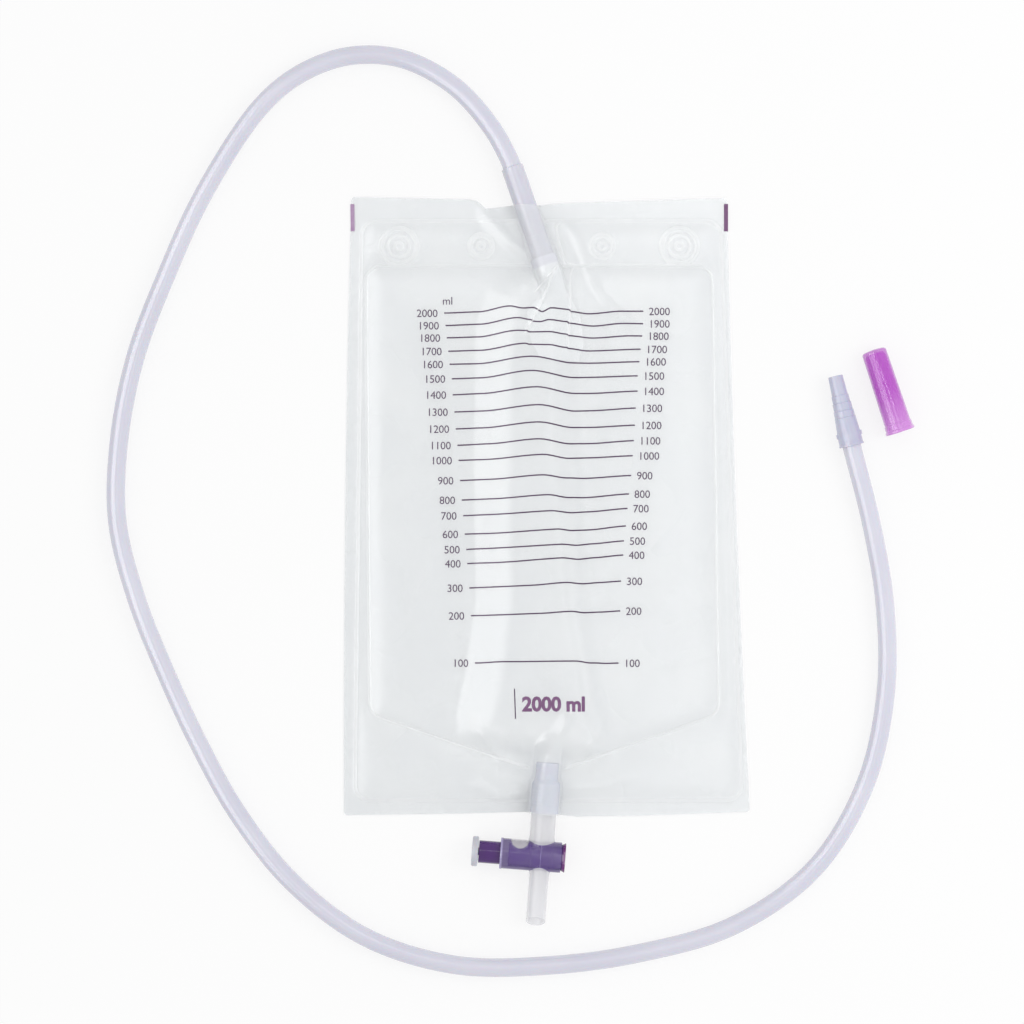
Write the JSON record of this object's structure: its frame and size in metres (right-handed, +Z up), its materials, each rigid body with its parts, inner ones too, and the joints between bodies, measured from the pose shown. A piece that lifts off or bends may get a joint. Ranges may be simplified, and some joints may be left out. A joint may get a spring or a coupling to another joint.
{
  "type": "urine drainage bag",
  "caption": "Flat welded two-film urine drainage bag with long looped drainage tube, stepped connector and loose cap, embossed hanger rings and a push-pull drain tap.",
  "frame": {"origin": "middle of the bag, on the surface that it lies on", "axes": "+X to the right of the bag seen from above, +Y towards its hanger rings and inlet, +Z up from the surface"},
  "size_m": [0.4331, 0.4996, 0.0173],
  "materials": {
    "clear_film": "thin translucent film, soft gloss",
    "valve_film": "thin translucent film",
    "soft_tube": "soft translucent tube, satin gloss",
    "connector_plastic": "pale lilac moulding, satin gloss",
    "cap_magenta": "translucent magenta moulding, gloss",
    "outlet_sleeve": "soft translucent tube, bluish",
    "tap_milky": "milky translucent moulding",
    "plunger_purple": "deep purple moulding, gloss",
    "disc_white": "off-white moulding"
  },
  "bodies": {
    "bag": {"back_film": "clear_film", "front_film": "clear_film", "valve_front_flap": "valve_film", "valve_back_flap": "valve_film", "inlet_sleeve": "soft_tube", "drainage_tube": "soft_tube", "step_connector": "connector_plastic", "connector_cap": "cap_magenta", "outlet_sleeve": "outlet_sleeve", "tap_body": "tap_milky"},
    "plunger": {"tap_plunger": "plunger_purple", "plunger_end_disc": "disc_white"}
  },
  "joints": [
    {"name": "plunger_slide", "type": "slide", "parent": "bag", "child": "plunger", "axis": [0.9971, -0.0767, 0], "range_m": [0, 0.0115]}
  ]
}
